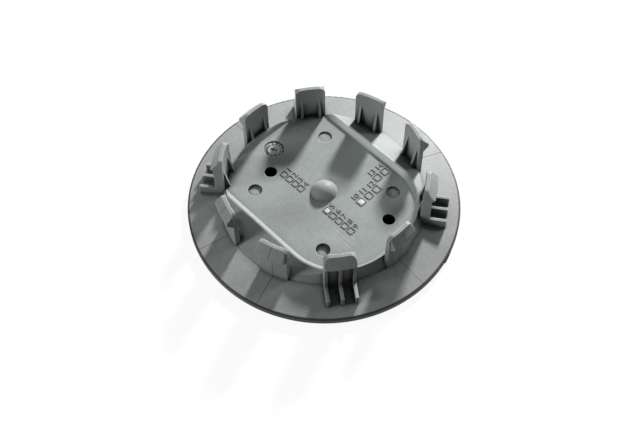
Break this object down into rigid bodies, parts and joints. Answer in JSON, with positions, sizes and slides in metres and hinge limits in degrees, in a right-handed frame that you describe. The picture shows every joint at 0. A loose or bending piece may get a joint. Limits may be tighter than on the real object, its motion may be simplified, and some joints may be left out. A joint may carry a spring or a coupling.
{
  "type": "wheel centre cap",
  "caption": "Round moulded wheel centre cap lying face down, with a ring of spring clips round a shallow ridged tray.",
  "frame": {"origin": "on the axis of the cap, in the plane of the front rim on which it lies", "axes": "+Z from the visible front to the clip side, +Y along the long way of the tray, +X across it"},
  "size_m": [0.076, 0.076, 0.0173],
  "materials": {
    "plastic": "satin moulded grey"
  },
  "bodies": {
    "root": {"centre_cap": "plastic"}
  },
  "joints": []
}
